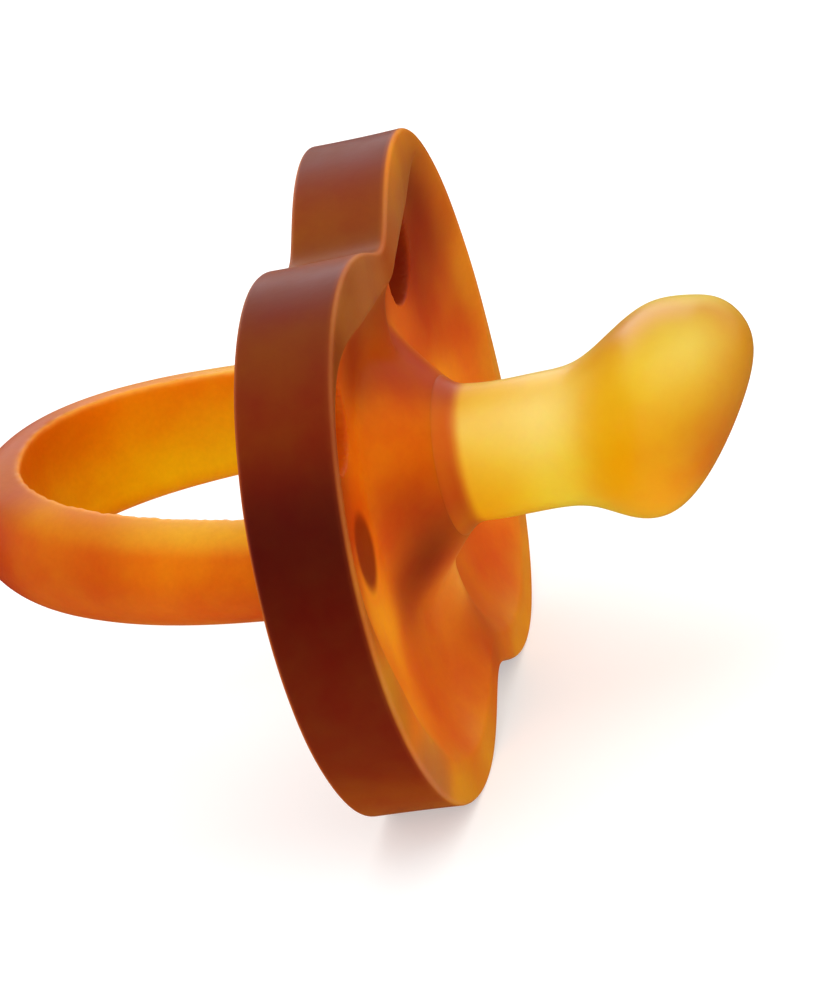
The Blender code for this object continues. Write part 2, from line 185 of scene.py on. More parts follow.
def to_linear(c):
    c = np.clip(np.asarray(c, float) / 255.0, 0.0, 1.0)
    return np.where(c <= 0.04045, c / 12.92, ((c + 0.055) / 1.055) ** 2.4)


def wash(points, stops):
    """Blends colour stops (x, d, u, (r, g, b), reach) over the points; x is taken on both sides alike."""
    p = np.array(points, float)
    p[:, 0] = np.abs(p[:, 0])
    total = np.zeros((len(p), 3))
    weight = np.full(len(p), 1e-12)
    for x, d, u, colour, reach in stops:
        r2 = (p[:, 0] - x) ** 2 + (p[:, 1] - d) ** 2 + (p[:, 2] - u) ** 2
        w = np.exp(-r2 / (2 * reach * reach)) + 1e-6 / (1 + r2 / (reach * reach)) ** 2
        total += w[:, None] * np.array(colour, float)
        weight += w
    return total / weight[:, None]


def set_colour_with_painted_light(obj, srgb):
    rgba = np.ones((len(srgb), 4), np.float32)
    rgba[:, :3] = to_linear(srgb)
    layer = obj.data.attributes.get("colour_with_painted_light") or obj.data.attributes.new("colour_with_painted_light", "FLOAT_COLOR", "POINT")
    layer.data.foreach_set("color", rgba.ravel())


# ------------------------------------------------------------------ materials


def rubber(name, roughness, specular, scatter, scatter_scale, mottle, grain, sheen=0.0, coat=0.0, bump=0.25):
    """Translucent natural rubber. Its colour, painted light and shade included, comes from the tint layer, mottled,
    with a grain in gloss and relief.
    """
    mat = bpy.data.materials.new(name)
    mat.use_nodes = True
    nt = mat.node_tree
    bsdf = nt.nodes["Principled BSDF"]
    bsdf.inputs["Roughness"].default_value = roughness
    bsdf.inputs["Specular IOR Level"].default_value = specular
    bsdf.inputs["Specular Tint"].default_value = (1.0, 0.62, 0.36, 1.0)
    bsdf.inputs["Subsurface Weight"].default_value = scatter
    bsdf.inputs["Subsurface Radius"].default_value = (1.0, 0.45, 0.12)
    bsdf.inputs["Subsurface Scale"].default_value = scatter_scale * MM
    bsdf.inputs["Sheen Weight"].default_value = sheen
    bsdf.inputs["Sheen Roughness"].default_value = 0.5
    bsdf.inputs["Coat Weight"].default_value = coat
    bsdf.inputs["Coat Roughness"].default_value = 0.32

    colour_with_painted_light = nt.nodes.new("ShaderNodeAttribute")
    colour_with_painted_light.attribute_name = "colour_with_painted_light"
    coord = nt.nodes.new("ShaderNodeTexCoord")

    def noise_node(scale, detail, rough):
        node = nt.nodes.new("ShaderNodeTexNoise")
        node.inputs["Scale"].default_value = scale
        node.inputs["Detail"].default_value = detail
        node.inputs["Roughness"].default_value = rough
        nt.links.new(coord.outputs["Object"], node.inputs["Vector"])
        return node

    def remap(node, lo, hi):
        m = nt.nodes.new("ShaderNodeMapRange")
        m.inputs["From Min"].default_value = 0.3
        m.inputs["From Max"].default_value = 0.7
        m.inputs["To Min"].default_value = lo
        m.inputs["To Max"].default_value = hi
        nt.links.new(node.outputs["Fac"], m.inputs["Value"])
        return m

    clouds = noise_node(230.0, 4.0, 0.55)
    fine = noise_node(2600.0, 3.0, 0.6)
    hsv = nt.nodes.new("ShaderNodeHueSaturation")
    nt.links.new(colour_with_painted_light.outputs["Color"], hsv.inputs["Color"])
    nt.links.new(remap(clouds, 1.0 - mottle, 1.0 + mottle).outputs["Result"], hsv.inputs["Value"])
    nt.links.new(remap(clouds, 0.5 - 0.006, 0.5 + 0.006).outputs["Result"], hsv.inputs["Hue"])
    second = nt.nodes.new("ShaderNodeHueSaturation")
    nt.links.new(hsv.outputs["Color"], second.inputs["Color"])
    nt.links.new(remap(fine, 1.0 - grain, 1.0 + grain).outputs["Result"], second.inputs["Value"])
    nt.links.new(second.outputs["Color"], bsdf.inputs["Base Color"])
    nt.links.new(remap(clouds, roughness - 0.05, roughness + 0.07).outputs["Result"], bsdf.inputs["Roughness"])

    relief = nt.nodes.new("ShaderNodeBump")
    relief.inputs["Strength"].default_value = bump
    relief.inputs["Distance"].default_value = 0.03 * MM
    nt.links.new(noise_node(1500.0, 4.0, 0.6).outputs["Fac"], relief.inputs["Height"])
    nt.links.new(relief.outputs["Normal"], bsdf.inputs["Normal"])
    return mat


# ------------------------------------------------------------------ shield


def outline_radius(phi):
    s, c = np.sin(phi), np.cos(phi)
    radii = []
    for cx in (LOBE_CENTRE_X, -LOBE_CENTRE_X):
        a, b = LOBE_HALF_WIDTH, LOBE_HALF_HEIGHT
        qa = (s / a) ** 2 + (c / b) ** 2
        qb = -2 * s * cx / a**2
        qc = (cx / a) ** 2 - 1
        radii.append((-qb + np.sqrt(qb * qb - 4 * qa * qc)) / (2 * qa))
    k = NOTCH_BLEND
    return k * np.logaddexp(radii[0] / k, radii[1] / k)


def fold_angle(phi):
    p = np.abs(np.arctan2(np.sin(phi), np.cos(phi)))
    return np.minimum(p, math.pi - p)


def land_width(phi):
    p = np.degrees(np.abs(np.arctan2(np.sin(phi), np.cos(phi))))
    grid = np.arange(-20.0, 201.0)
    raw = np.interp(np.where(grid < 0, -grid, np.where(grid > 180, 360 - grid, grid)), *zip(*LAND_STATIONS))
    kernel = np.exp(-((np.arange(-9, 10) / 3.2) ** 2))
    soft = np.convolve(raw, kernel / kernel.sum(), mode="same")
    return np.interp(p, grid, soft)


def dish_depth(r, phi, z=None):
    """Steep under the two shoulders, an open bowl towards the sides."""
    edge = outline_radius(phi) - land_width(phi)
    fold = fold_angle(phi)
    full = DISH_DEPTH - (DISH_DEPTH - SADDLE_DEPTH) * np.exp(-((fold / SADDLE_ANGLE) ** 2))
    steep = np.where(np.cos(phi) > 0, 5.0 * np.exp(-((fold / 0.62) ** 4)), 0.0)
    t = 1 - (r / edge) ** (5.0 + steep)
    return full * 0.5 * (t + np.sqrt(t * t + 0.05**2)) * (1 - 0.0006)


def flare_radius(d):
    """Radius of the boss at a depth; it hugs the neck in front and spreads into the dish."""
    return 4.72 + 1.02 * softplus(d + 1.66, 0.30) + 0.036 * np.maximum(d + 1.66, 0.0) ** 2


def soft_min(a, b, k):
    return -k * np.logaddexp(-a / k, -b / k)


def bow(x):
    return x * x / (2 * BOW_RADIUS)


def build_shield():
    n = 720
    phi = np.linspace(0, 2 * math.pi, n, endpoint=False)
    sin, cos = np.sin(phi), np.cos(phi)
    outer = outline_radius(phi)
    edge = outer - land_width(phi)
    loops = []

    def put(r, d, rise=0.0):
        x = r * sin
        z = np.maximum(r * cos + rise, -LOBE_HALF_HEIGHT + STAND_FLAT)
        loops.append(np.stack([x, d + bow(x), z], -1))

    table_d = np.linspace(-4.0, 6.0, 600)
    table_r = flare_radius(table_d)
    put(np.full(n, 3.0), np.full(n, -2.9), AXIS_RISE)
    for d in np.linspace(-2.9, 1.6, 46):
        # the skin of the teat lies over the front of the boss
        r = np.full(n, float(flare_radius(d)) - 0.35 * (1 - float(smoothstep(-1.35, -0.75, np.float64(d)))))
        put(r, soft_min(np.full(n, d), dish_depth(r, phi), 0.22), AXIS_RISE)
    inner = float(flare_radius(1.6))
    for f in np.concatenate([np.linspace(0, 0.8, 52)[1:], np.linspace(0.8, 1.0, 26)[1:]]):
        r = inner + (edge - inner) * f
        d = np.interp(r, table_r, table_d)
        put(r, soft_min(d, dish_depth(r, phi), 0.22), AXIS_RISE * (1 - f))
    e = EDGE_ROUND
    for f in (0.12, 0.25, 0.4, 0.55, 0.7, 0.85, 1.0):
        r = edge + (outer - e - edge) * f
        put(r, dish_depth(r, phi))
    for a in np.linspace(0, math.pi / 2, 8)[1:]:
        put(outer - e + e * math.sin(a), np.full(n, e - e * math.cos(a)))
    under = np.where(cos > 0, 1.0, 1 - np.exp(-(((np.abs(outer * sin) - LOBE_CENTRE_X) / 5.0) ** 2)))
    draft = WALL_DRAFT * under
    for f in np.linspace(0, 1, 24)[1:]:
        hollow = 0.05 * 4 * f * (1 - f) * under
        put(outer - draft * f - hollow, np.full(n, e + (THICK - 2 * e) * f))
    for a in np.linspace(0, math.pi / 2, 8)[1:]:
        put(outer - draft - e + e * math.cos(a), np.full(n, THICK - e + e * math.sin(a)))
    back = outer - draft - e
    seat = PLUG_SEAT + 0.35
    for f in np.linspace(0, 1, 34)[1:]:
        put(back + (seat - back) * f, np.full(n, THICK), AXIS_RISE * f)
    for a in np.linspace(0, math.pi / 2, 6)[1:]:
        put(np.full(n, seat - 0.3 * math.sin(a)), np.full(n, THICK - 0.3 + 0.3 * math.cos(a)), AXIS_RISE)
    put(np.full(n, seat - 0.33), np.full(n, THICK - 1.1), AXIS_RISE)
    put(np.full(n, seat - 0.6), np.full(n, THICK - 1.4), AXIS_RISE)
    put(np.full(n, 3.0), np.full(n, THICK - 1.4), AXIS_RISE)
    obj = loops_to_object("shield_skin", loops, cap_start=(0, -2.9, AXIS_RISE), cap_end=(0, THICK - 1.4, AXIS_RISE))

    for side in (-1.0, 1.0):
        ring = []
        m = 96
        t = np.linspace(0, 2 * math.pi, m, endpoint=False)
        for r, d in ((VENT_RADIUS, -3.0), (VENT_RADIUS, 0.2), (VENT_RADIUS, 2.5), (VENT_RADIUS, 5.0), (VENT_RADIUS, 11.0)):
            ring.append(np.stack([side * VENT_X + r * np.sin(t), np.full(m, d), VENT_RISE + r * np.cos(t)], -1))
        cutter = loops_to_object("vent_cutter", ring, cap_start=(side * VENT_X, -3.0, VENT_RISE), cap_end=(side * VENT_X, 11.0, VENT_RISE))
        mod = obj.modifiers.new("vent", "BOOLEAN")
        mod.operation = "DIFFERENCE"
        mod.solver = "EXACT"
        mod.object = cutter
        bpy.context.view_layer.update()
        done = bpy.data.meshes.new_from_object(obj.evaluated_get(bpy.context.evaluated_depsgraph_get()))
        obj.modifiers.clear()
        old = obj.data
        obj.data = done
        bpy.data.meshes.remove(old)
        bpy.data.objects.remove(cutter, do_unlink=True)

    # the rims of the vents are moulded round
    bm = bmesh.new()
    bm.from_mesh(obj.data)
    bmesh.ops.remove_doubles(bm, verts=bm.verts, dist=0.004 * MM)
    co = from_world(np.array([v.co for v in bm.verts]))
    rim = np.hypot(np.abs(co[:, 0]) - VENT_X, co[:, 2] - VENT_RISE) - VENT_RADIUS
    near = [v for v, k in zip(bm.verts, rim) if -0.05 < k < 0.55]
    for _ in range(7):
        bmesh.ops.smooth_vert(bm, verts=near, factor=0.5, use_axis_x=True, use_axis_y=True, use_axis_z=True)
    bm.to_mesh(obj.data)
    bm.free()
    obj.data.shade_smooth()
    return obj


# These stops carry painted light and shade besides the rubber's own colour: painted shade in the steep dish under the
# shoulders and along the upper border, painted light where it comes through the thin lower border and the lower dish.
SHIELD_FRONT = [
    # the broad land on the shoulders
    (7.0, 0.1, 15.8, (162, 90, 36), 1.8),
    (12.0, 0.2, 17.2, (152, 80, 25), 2.0),
    (17.0, 0.4, 14.6, (126, 51, 0), 2.0),
    (3.2, 0.2, 13.8, (166, 86, 29), 1.4),
    # the thin outer border of the dish
    (24.8, 0.9, 3.0, (169, 90, 0), 1.8),
    (24.6, 0.9, -5.0, (185, 115, 14), 1.8),
    (23.0, 0.8, 9.0, (142, 56, 0), 1.8),
    (20.5, 0.6, -12.5, (176, 101, 44), 1.8),
    (15.5, 0.4, -17.4, (211, 134, 12), 1.8),
    (9.0, 0.2, -18.3, (217, 137, 18), 1.8),
    (20.6, 0.6, 12.6, (116, 33, 0), 1.6),
    # the dish
    (20.5, 1.6, 2.0, (196, 78, 0), 2.6),
    (18.0, 2.2, 6.5, (144, 41, 0), 2.6),
    (15.5, 2.4, 9.8, (143, 43, 0), 2.4),
    (10.5, 2.2, 11.0, (196, 77, 0), 2.2),
    (6.6, 1.6, 11.2, (151, 50, 0), 1.6),
    (14.0, 2.4, 3.0, (199, 69, 0), 2.6),
    (14.5, 2.4, -2.5, (249, 166, 2), 2.6),
    (19.5, 1.8, -5.0, (219, 98, 0), 2.6),
    (16.5, 2.2, -9.5, (239, 129, 0), 2.8),
    (11.5, 2.2, -12.5, (208, 81, 0), 2.8),
    (6.0, 1.6, -12.6, (210, 99, 0), 2.4),
    (0.0, 0.6, 12.8, (155, 65, 3), 1.6),
    (0.0, 0.7, -12.4, (191, 80, 0), 1.6),
    # the boss
    (0.0, 0.2, 8.0, (176, 62, 0), 2.2),
    (6.5, 0.8, 4.6, (218, 100, 0), 2.2),
    (8.2, 1.2, 0.0, (166, 58, 0), 2.2),
    (7.0, 1.0, -5.4, (179, 64, 0), 2.4),
    (3.0, 1.0, -8.0, (224, 112, 23), 2.0),
    (0.0, 1.2, -8.6, (244, 166, 53), 1.6),
    (10.6, 2.2, 5.4, (227, 107, 0), 2.2),
    (11.2, 2.3, -1.0, (238, 107, 0), 2.0),
    (5.2, -1.2, 1.0, (202, 95, 0), 1.2),
    (4.0, -1.2, 4.2, (209, 99, 0), 1.2),
    (4.0, -1.2, -3.4, (200, 111, 1), 1.2),
    (0.0, -1.2, -5.0, (180, 107, 23), 1.2),
]

# Painted shade and light on the rim wall: dark on the upper flanks, lighter towards the bottom where light comes
# through.
SHIELD_WALL = [
    (0.0, 3.4, 13.9, (118, 53, 0), 2.0),
    (6.0, 3.4, 17.6, (129, 54, 0), 2.6),
    (10.4, 3.4, 19.5, (88, 11, 0), 2.6),
    (16.0, 3.4, 18.2, (115, 43, 0), 2.8),
    (21.0, 3.4, 13.6, (116, 29, 0), 3.0),
    (24.0, 3.4, 8.2, (72, 2, 0), 2.8),
    (25.3, 3.4, 3.2, (87, 9, 0), 2.6),
    (25.6, 3.4, -1.5, (102, 25, 0), 2.8),
    (25.2, 3.4, -6.0, (112, 27, 0), 2.8),
    (23.2, 3.4, -10.5, (117, 27, 0), 2.6),
    (20.6, 3.4, -14.0, (151, 66, 0), 2.6),
    (16.5, 3.4, -17.4, (174, 83, 13), 2.6),
    (10.4, 3.4, -19.4, (125, 62, 18), 2.8),
    (5.0, 3.4, -17.4, (122, 57, 18), 2.6),
    (0.0, 3.4, -13.9, (117, 54, 18), 2.4),
]

# Painted light and shade on the back: lighter towards the thin outer border, darker round the roots of the ring and
# the plug.
SHIELD_BACK = [
    (0.0, 6.9, 9.0, (134, 54, 13), 4.0),
    (0.0, 6.9, -9.0, (137, 56, 11), 4.0),
    (12.0, 6.9, 12.0, (149, 62, 11), 4.5),
    (12.0, 6.9, -12.0, (151, 64, 10), 4.5),
    (22.0, 6.9, 4.0, (168, 76, 10), 3.6),
    (22.0, 6.9, -5.0, (164, 73, 8), 3.6),
    (14.0, 6.9, 0.0, (125, 45, 5), 3.0),
    (7.0, 6.9, 0.0, (125, 47, 8), 3.0),
]


def paint_shield(obj):
    p = from_world(positions(obj))
    nn = normals(obj)
    q = p.copy()
    q[:, 1] -= bow(q[:, 0])
    r = np.hypot(q[:, 0], q[:, 2])
    phi = np.arctan2(q[:, 0], q[:, 2])
    inset = outline_radius(phi) - r
    front = wash(q, SHIELD_FRONT)
    side = wash(np.stack([q[:, 0], np.full(len(q), 3.4), q[:, 2]], -1), SHIELD_WALL)
    back = wash(np.stack([q[:, 0], np.full(len(q), 6.9), q[:, 2]], -1), SHIELD_BACK)
    is_wall = smoothstep(0.12, 0.45, q[:, 1]) * (1 - smoothstep(0.55, 0.9, inset)) * smoothstep(0.2, 0.7, 1 - np.abs(nn[:, 1]))
    is_back = smoothstep(THICK - 0.9, THICK - 0.25, q[:, 1]) * smoothstep(0.45, 0.85, nn[:, 1])
    colour = front * (1 - is_wall[:, None]) + side * is_wall[:, None]
    colour = colour * (1 - is_back[:, None]) + back * is_back[:, None]
    # painted highlight: a thin pale band along the arrises
    arris = np.exp(-(((q[:, 1] - 0.12) / 0.16) ** 2)) * np.exp(-((inset / 0.4) ** 2))
    arris = np.maximum(arris, 0.6 * np.exp(-(((q[:, 1] - THICK + 0.12) / 0.16) ** 2)) * np.exp(-(((inset - 0.2) / 0.4) ** 2)))
    colour = colour + (np.array([186, 120, 84]) - colour) * (0.42 * arris)[:, None]
    # light comes through the thin outer border of one lobe, and the boss shades the other below
    on_front = (1 - is_back) * (1 - is_wall)
    glow = smoothstep(2.0, 9.0, q[:, 0]) * (1 - smoothstep(0.2, 4.2, inset)) * on_front * smoothstep(-0.2, 0.4, q[:, 1] + 0.3)
    colour = colour + (np.array([232, 136, 6]) - colour) * (0.6 * glow)[:, None]
    shade = np.exp(-(((q[:, 0] + 6.4) / 2.5) ** 2) - (((q[:, 2] + 3.9) / 2.6) ** 2)) * on_front
    colour = colour + (np.array([112, 30, 0]) - colour) * (0.62 * shade)[:, None]
    # painted shade inside the vents, where the rubber is thick: dark on one side, a lighter orange on the other
    rim = np.hypot(np.abs(q[:, 0]) - VENT_X, q[:, 2] - VENT_RISE) - VENT_RADIUS
    bore = (1 - smoothstep(0.05, 0.3, rim)) * smoothstep(0.9, 2.4, q[:, 1]) * (1 - smoothstep(THICK - 1.0, THICK, q[:, 1]))
    vent_bore_shade = np.where(q[:, :1] > 0, np.array([[132, 36, 8]]), np.array([[206, 84, 0]]))
    colour = colour + (vent_bore_shade - colour) * (0.85 * bore)[:, None]
    # painted shadow: the thick root of one arm of the ring blocks the light behind the floor of the dish, shown as a
    # dark oval
    rho = np.hypot((q[:, 0] + 13.9) / 2.8, (q[:, 2] - 0.8) / 3.0)
    seen = (1 - is_back) * smoothstep(1.2, 2.2, q[:, 1]) * (1 - smoothstep(5.0, 6.0, q[:, 1]))
    oval = (1 - smoothstep(0.66, 1.06, rho)) * seen
    colour = colour + (np.array([118, 32, 0]) - colour) * (0.78 * oval)[:, None]
    # painted highlight: a bright arc along the lower edge of the oval
    oval_edge_highlight = np.exp(-(((rho - 1.16) / 0.09) ** 2)) * seen * smoothstep(0.3, -0.6, (q[:, 2] - 0.9) / 2.9)
    colour = colour + (np.array([240, 128, 14]) - colour) * (0.4 * oval_edge_highlight)[:, None]
    set_colour_with_painted_light(obj, colour)


# ------------------------------------------------------------------ teat


def natural_spline(xs, ys):
    xs, ys = np.asarray(xs, float), np.asarray(ys, float)
    n = len(xs)
    h = np.diff(xs)
    a = np.zeros((n, n))
    b = np.zeros(n)
    a[0, 0] = a[-1, -1] = 1.0
    for i in range(1, n - 1):
        a[i, i - 1], a[i, i], a[i, i + 1] = h[i - 1], 2 * (h[i - 1] + h[i]), h[i]
        b[i] = 6 * ((ys[i + 1] - ys[i]) / h[i] - (ys[i] - ys[i - 1]) / h[i - 1])
    m = np.linalg.solve(a, b)

    def at(x):
        k = np.clip(np.searchsorted(xs, x) - 1, 0, n - 2)
        t0, t1 = xs[k + 1] - x, x - xs[k]
        hk = h[k]
        return m[k] * t0**3 / (6 * hk) + m[k + 1] * t1**3 / (6 * hk) + (ys[k] / hk - m[k] * hk / 6) * t0 + (ys[k + 1] / hk - m[k + 1] * hk / 6) * t1

    return at


TEAT = np.array(TEAT_STATIONS)
TEAT_RISE = natural_spline(TEAT[:, 0], TEAT[:, 1])
TEAT_HIGH = natural_spline(TEAT[:, 0], TEAT[:, 2])
TEAT_RATIO = natural_spline(TEAT[:, 0], TEAT[:, 3])


def teat_section(d):
    q = np.clip(d, TEAT[0, 0], TEAT[-1, 0])
    f = (q - TEAT[0, 0]) / (TEAT[-1, 0] - TEAT[0, 0])
    close = np.sqrt(np.maximum(0.0, 1 - f**TEAT_TIP_POWER))
    high = TEAT_HIGH(q) * close
    return TEAT_RISE(q), high, high * TEAT_RATIO(q)


def build_teat():
    n = 160
    t = np.linspace(0, 2 * math.pi, n, endpoint=False)
    loops = []
    cuff = np.linspace(0.5, 1.7, 22)
    for d in cuff:
        r = float(flare_radius(-d)) + 0.018 - 0.16 * (1 - float(smoothstep(0.5, 1.05, np.float64(d))))
        loops.append(np.stack([r * np.sin(t), np.full(n, -d), AXIS_RISE + r * np.cos(t)], -1))
    a, b = 1.7, TEAT[-1, 0]
    f = np.sin(0.5 * math.pi * np.linspace(0, 1, 190)[1:-1]) ** 0.95
    for g in f:
        d = a + (b - a) * g
        rise, high, wide = (float(v) for v in teat_section(np.float64(d)))
        foot = float(flare_radius(-d)) + 0.018
        blend = float(smoothstep(1.7, 3.4, np.float64(d)))
        high, wide = foot + (high - foot) * blend, foot + (wide - foot) * blend
        rise = AXIS_RISE + (rise - AXIS_RISE) * blend
        loops.append(np.stack([wide * np.sin(t), np.full(n, -d), rise + high * np.cos(t)], -1))
    tip = (0.0, -b, float(TEAT_RISE(np.float64(b))))
    return loops_to_object("teat_skin", loops, cap_start=(0, 0.8, AXIS_RISE), cap_end=tip)


# The pale stops on the upper flanks of the neck and bulb are a painted highlight.
TEAT_COLOURS = [
    # x, -d, u
    (0.0, -1.6, 5.0, (228, 153, 17), 1.3),
    (4.6, -1.6, 0.4, (248, 189, 32), 1.3),
    (0.0, -1.6, -4.5, (195, 125, 7), 1.3),
    (0.0, -4.5, 5.0, (228, 174, 35), 2.2),
    (3.4, -5.0, 3.4, (248, 227, 123), 2.2),
    (4.7, -4.5, 0.4, (249, 201, 27), 2.0),
    (3.6, -4.5, -3.0, (249, 184, 0), 2.0),
    (0.0, -4.5, -4.6, (249, 191, 25), 2.0),
    (3.4, -9.5, 3.8, (249, 233, 172), 2.4),
    (0.0, -9.5, 5.4, (220, 176, 43), 2.4),
    (5.0, -9.5, 0.0, (249, 232, 70), 2.2),
    (3.8, -9.5, -3.6, (249, 243, 61), 2.4),
    (0.0, -9.5, -5.0, (202, 149, 32), 2.4),
    (5.4, -13.0, 4.6, (240, 187, 2), 2.6),
    (7.2, -13.4, 0.0, (249, 186, 0), 2.6),
    (5.0, -13.4, -4.6, (249, 203, 39), 2.6),
    (0.0, -13.5, 7.2, (208, 138, 0), 2.6),
    (5.8, -17.0, 6.4, (224, 199, 61), 2.8),
    (8.2, -17.0, 1.6, (224, 151, 0), 2.8),
    (6.0, -17.0, -3.4, (234, 141, 0), 2.8),
    (0.0, -17.0, 8.8, (188, 136, 0), 2.8),
    (0.0, -17.0, -5.4, (188, 125, 17), 2.6),
    (6.8, -20.5, 5.4, (224, 174, 31), 2.4),
    (5.0, -20.5, 8.2, (224, 224, 137), 2.2),
    (6.4, -20.5, 1.0, (189, 85, 0), 2.4),
    (0.0, -21.0, -1.0, (221, 116, 0), 2.2),
    (0.0, -22.9, 4.8, (205, 134, 14), 2.4),
    (4.0, -22.6, 4.8, (200, 116, 5), 2.2),
]


def paint_teat(obj):
    p = from_world(positions(obj))
    # the first millimetres are one piece with the boss, and share its colour
    boss = wash(p, SHIELD_FRONT)
    own = smoothstep(1.7, 2.75, -p[:, 1])[:, None]
    set_colour_with_painted_light(obj, boss * (1 - own) + wash(p, TEAT_COLOURS) * own)


# ------------------------------------------------------------------ ring


def ring_plan(count):
    steps = 1200
    t = 0.5 * math.pi * np.arange(steps + 1) / steps
    x = RING_INNER_HALF * np.maximum(np.cos(t), 0.0) ** (2 / RING_POWER_X)
    x[-1] = 0.0
    y = RING_STRAIGHT_END + (RING_INNER_END - RING_STRAIGHT_END) * np.sin(t) ** (2 / RING_POWER_Y)
    start = 6.2
    p = np.stack([x, y], -1)
    lead = np.stack([np.full(24, RING_INNER_HALF), np.linspace(start, RING_STRAIGHT_END - 0.05, 24)], -1)
    p = np.concatenate([lead, p])
    s = np.concatenate([[0], np.cumsum(np.hypot(*np.diff(p, axis=0).T))])
    at = np.linspace(0, s[-1], count)
    x, y = np.interp(at, s, p[:, 0]), np.interp(at, s, p[:, 1])
    # even the curvature where the straight meets the loop
    for _ in range(12):
        x[1:-1] = 0.25 * x[:-2] + 0.5 * x[1:-1] + 0.25 * x[2:]
        y[1:-1] = 0.25 * y[:-2] + 0.5 * y[1:-1] + 0.25 * y[2:]
    dx, dy = np.gradient(x), np.gradient(y)
    size = np.hypot(dx, dy)
    nx, ny = dy / size, -dx / size
    nx[-1], ny[-1] = 0.0, 1.0
    nx[0], ny[0] = 1.0, 0.0
    return x, y, nx, ny


def ring_section(high, thick, count):
    """D section with a crisp upper inner arris and a rounder lower one, as (outward, up) round the loop."""
    m = 160
    t = np.linspace(0, math.pi, m)
    z = 0.5 * high * np.cos(t)
    base = -(0.5 * high - z) * math.tan(RING_LEAN)
    inner = np.stack([base, z], -1)
    outer = np.stack([base + thick * np.maximum(np.sin(t), 0.0) ** RING_BULGE, z], -1)
    dense = np.concatenate([inner, outer[-2:0:-1]])
    closed = np.concatenate([dense, dense[:1]])
    s = np.concatenate([[0], np.cumsum(np.hypot(*np.diff(closed, axis=0).T))])
    total = s[-1]
    lower = s[m - 1]
    at = np.linspace(0, total, count, endpoint=False)
    to_top = np.minimum(at, total - at)
    to_low = np.abs(at - lower)
    window = 0.30 + 0.55 * np.exp(-((to_low / 1.2) ** 2)) - 0.16 * np.exp(-((to_top / 0.8) ** 2))
    out = np.zeros((count, 2))
    for k in np.linspace(-1, 1, 9):
        q = (at + k * window) % total
        out[:, 0] += np.interp(q, s, closed[:, 0]) / 9
        out[:, 1] += np.interp(q, s, closed[:, 1]) / 9
    return out, at, total, lower


def build_ring():
    half = 170
    m = 112
    x, y, nx, ny = ring_plan(half)
    loops, marks = [], []
    for side in (1.0, -1.0):
        order = range(half) if side > 0 else range(half - 2, -1, -1)
        for i in order:
            w = min(max((y[i] - 8.67) / (RING_INNER_END - 8.67), 0.0), 1.0)
            high = RING_HEIGHT_ROOT + (RING_HEIGHT_END - RING_HEIGHT_ROOT) * w
            thick = RING_THICK_ROOT + (RING_THICK_END - RING_THICK_ROOT) * w
            sec, at, total, lower = ring_section(high, thick, m)
            # the root spreads into the back of the shield
            back = THICK + bow(13.9)
            fillet = 1.0
            gap = min(max(y[i] - back, 0.0), fillet)
            spread = fillet - math.sqrt(fillet**2 - (fillet - gap) ** 2) if gap > 0 else fillet
            mid = np.array([0.42 * thick, 0.0])
            sec = mid + (sec - mid) * np.array([1 + spread / (0.5 * thick), 1 + spread / (0.5 * high)])
            px = side * (x[i] + nx[i] * sec[:, 0])
            py = y[i] + ny[i] * sec[:, 0]
            pz = RING_RISE + RING_PITCH * (py - RING_RISE_AT) + sec[:, 1]
            loops.append(np.stack([px, py, pz], -1))
            to_top = np.minimum(at, total - at)
            marks.append(np.stack([to_top, np.abs(at - lower), at / total, np.full(m, spread)], -1))
    first, last = loops[0].mean(0), loops[-1].mean(0)
    obj = loops_to_object("ring_skin", loops, cap_start=first, cap_end=last)
    marks = np.concatenate([np.concatenate(marks), np.full((2, 4), 9.0)])
    # ragged trimmed flash along the upper inner arris
    flash = np.exp(-((marks[:, 0] / 0.22) ** 2)) * (marks[:, 3] < 0.2)
    lumps(obj, 0.55, 0.11, where=flash, seed=3.1)
    lumps(obj, 1.7, 0.07, where=flash, seed=8.4)
    lumps(obj, 5.0, 0.05, seed=1.7)
    return obj, marks


# Painted light and shade on the inner face: darker orange on the upper half, brighter yellow on the lower half.
RING_INNER = [
    # x, d, u on the face towards the opening
    (11.6, 9.0, 2.6, (190, 100, 0), 2.6),
    (11.6, 9.0, -2.6, (210, 144, 4), 2.6),
    (11.0, 15.0, 3.0, (249, 138, 0), 2.6),
    (11.0, 15.0, -2.2, (252, 198, 0), 2.8),
    (8.6, 22.0, 4.0, (249, 137, 0), 2.8),
    (8.6, 22.0, -1.6, (252, 196, 0), 2.8),
    (3.0, 27.5, 4.6, (227, 107, 0), 2.8),
    (3.0, 27.5, -1.0, (250, 176, 4), 2.8),
]
# Painted light and shade on the outer face: lighter on the upper half, darker on the lower half.
RING_OUTER = [
    (15.9, 9.0, 2.0, (226, 120, 0), 2.4),
    (15.9, 9.0, -2.4, (211, 86, 0), 2.4),
    (15.4, 15.0, 2.4, (218, 115, 0), 2.6),
    (15.4, 15.0, -2.0, (209, 88, 0), 2.6),
    (12.2, 23.5, 3.2, (194, 85, 0), 2.8),
    (12.2, 23.5, -1.6, (200, 80, 0), 2.8),
    (4.5, 32.0, 4.4, (174, 67, 0), 3.0),
    (4.5, 32.0, -0.6, (178, 38, 0), 3.0),
]
# Painted light on the faces that look up: pale near the shield, darker towards the far end.
RING_TOP = [
    (12.6, 9.0, 3.3, (242, 190, 27), 3.0),
    (12.2, 15.0, 3.8, (223, 167, 37), 3.2),
    (9.6, 23.0, 4.6, (202, 119, 0), 3.2),
    (3.5, 30.0, 5.2, (160, 72, 0), 3.2),
]


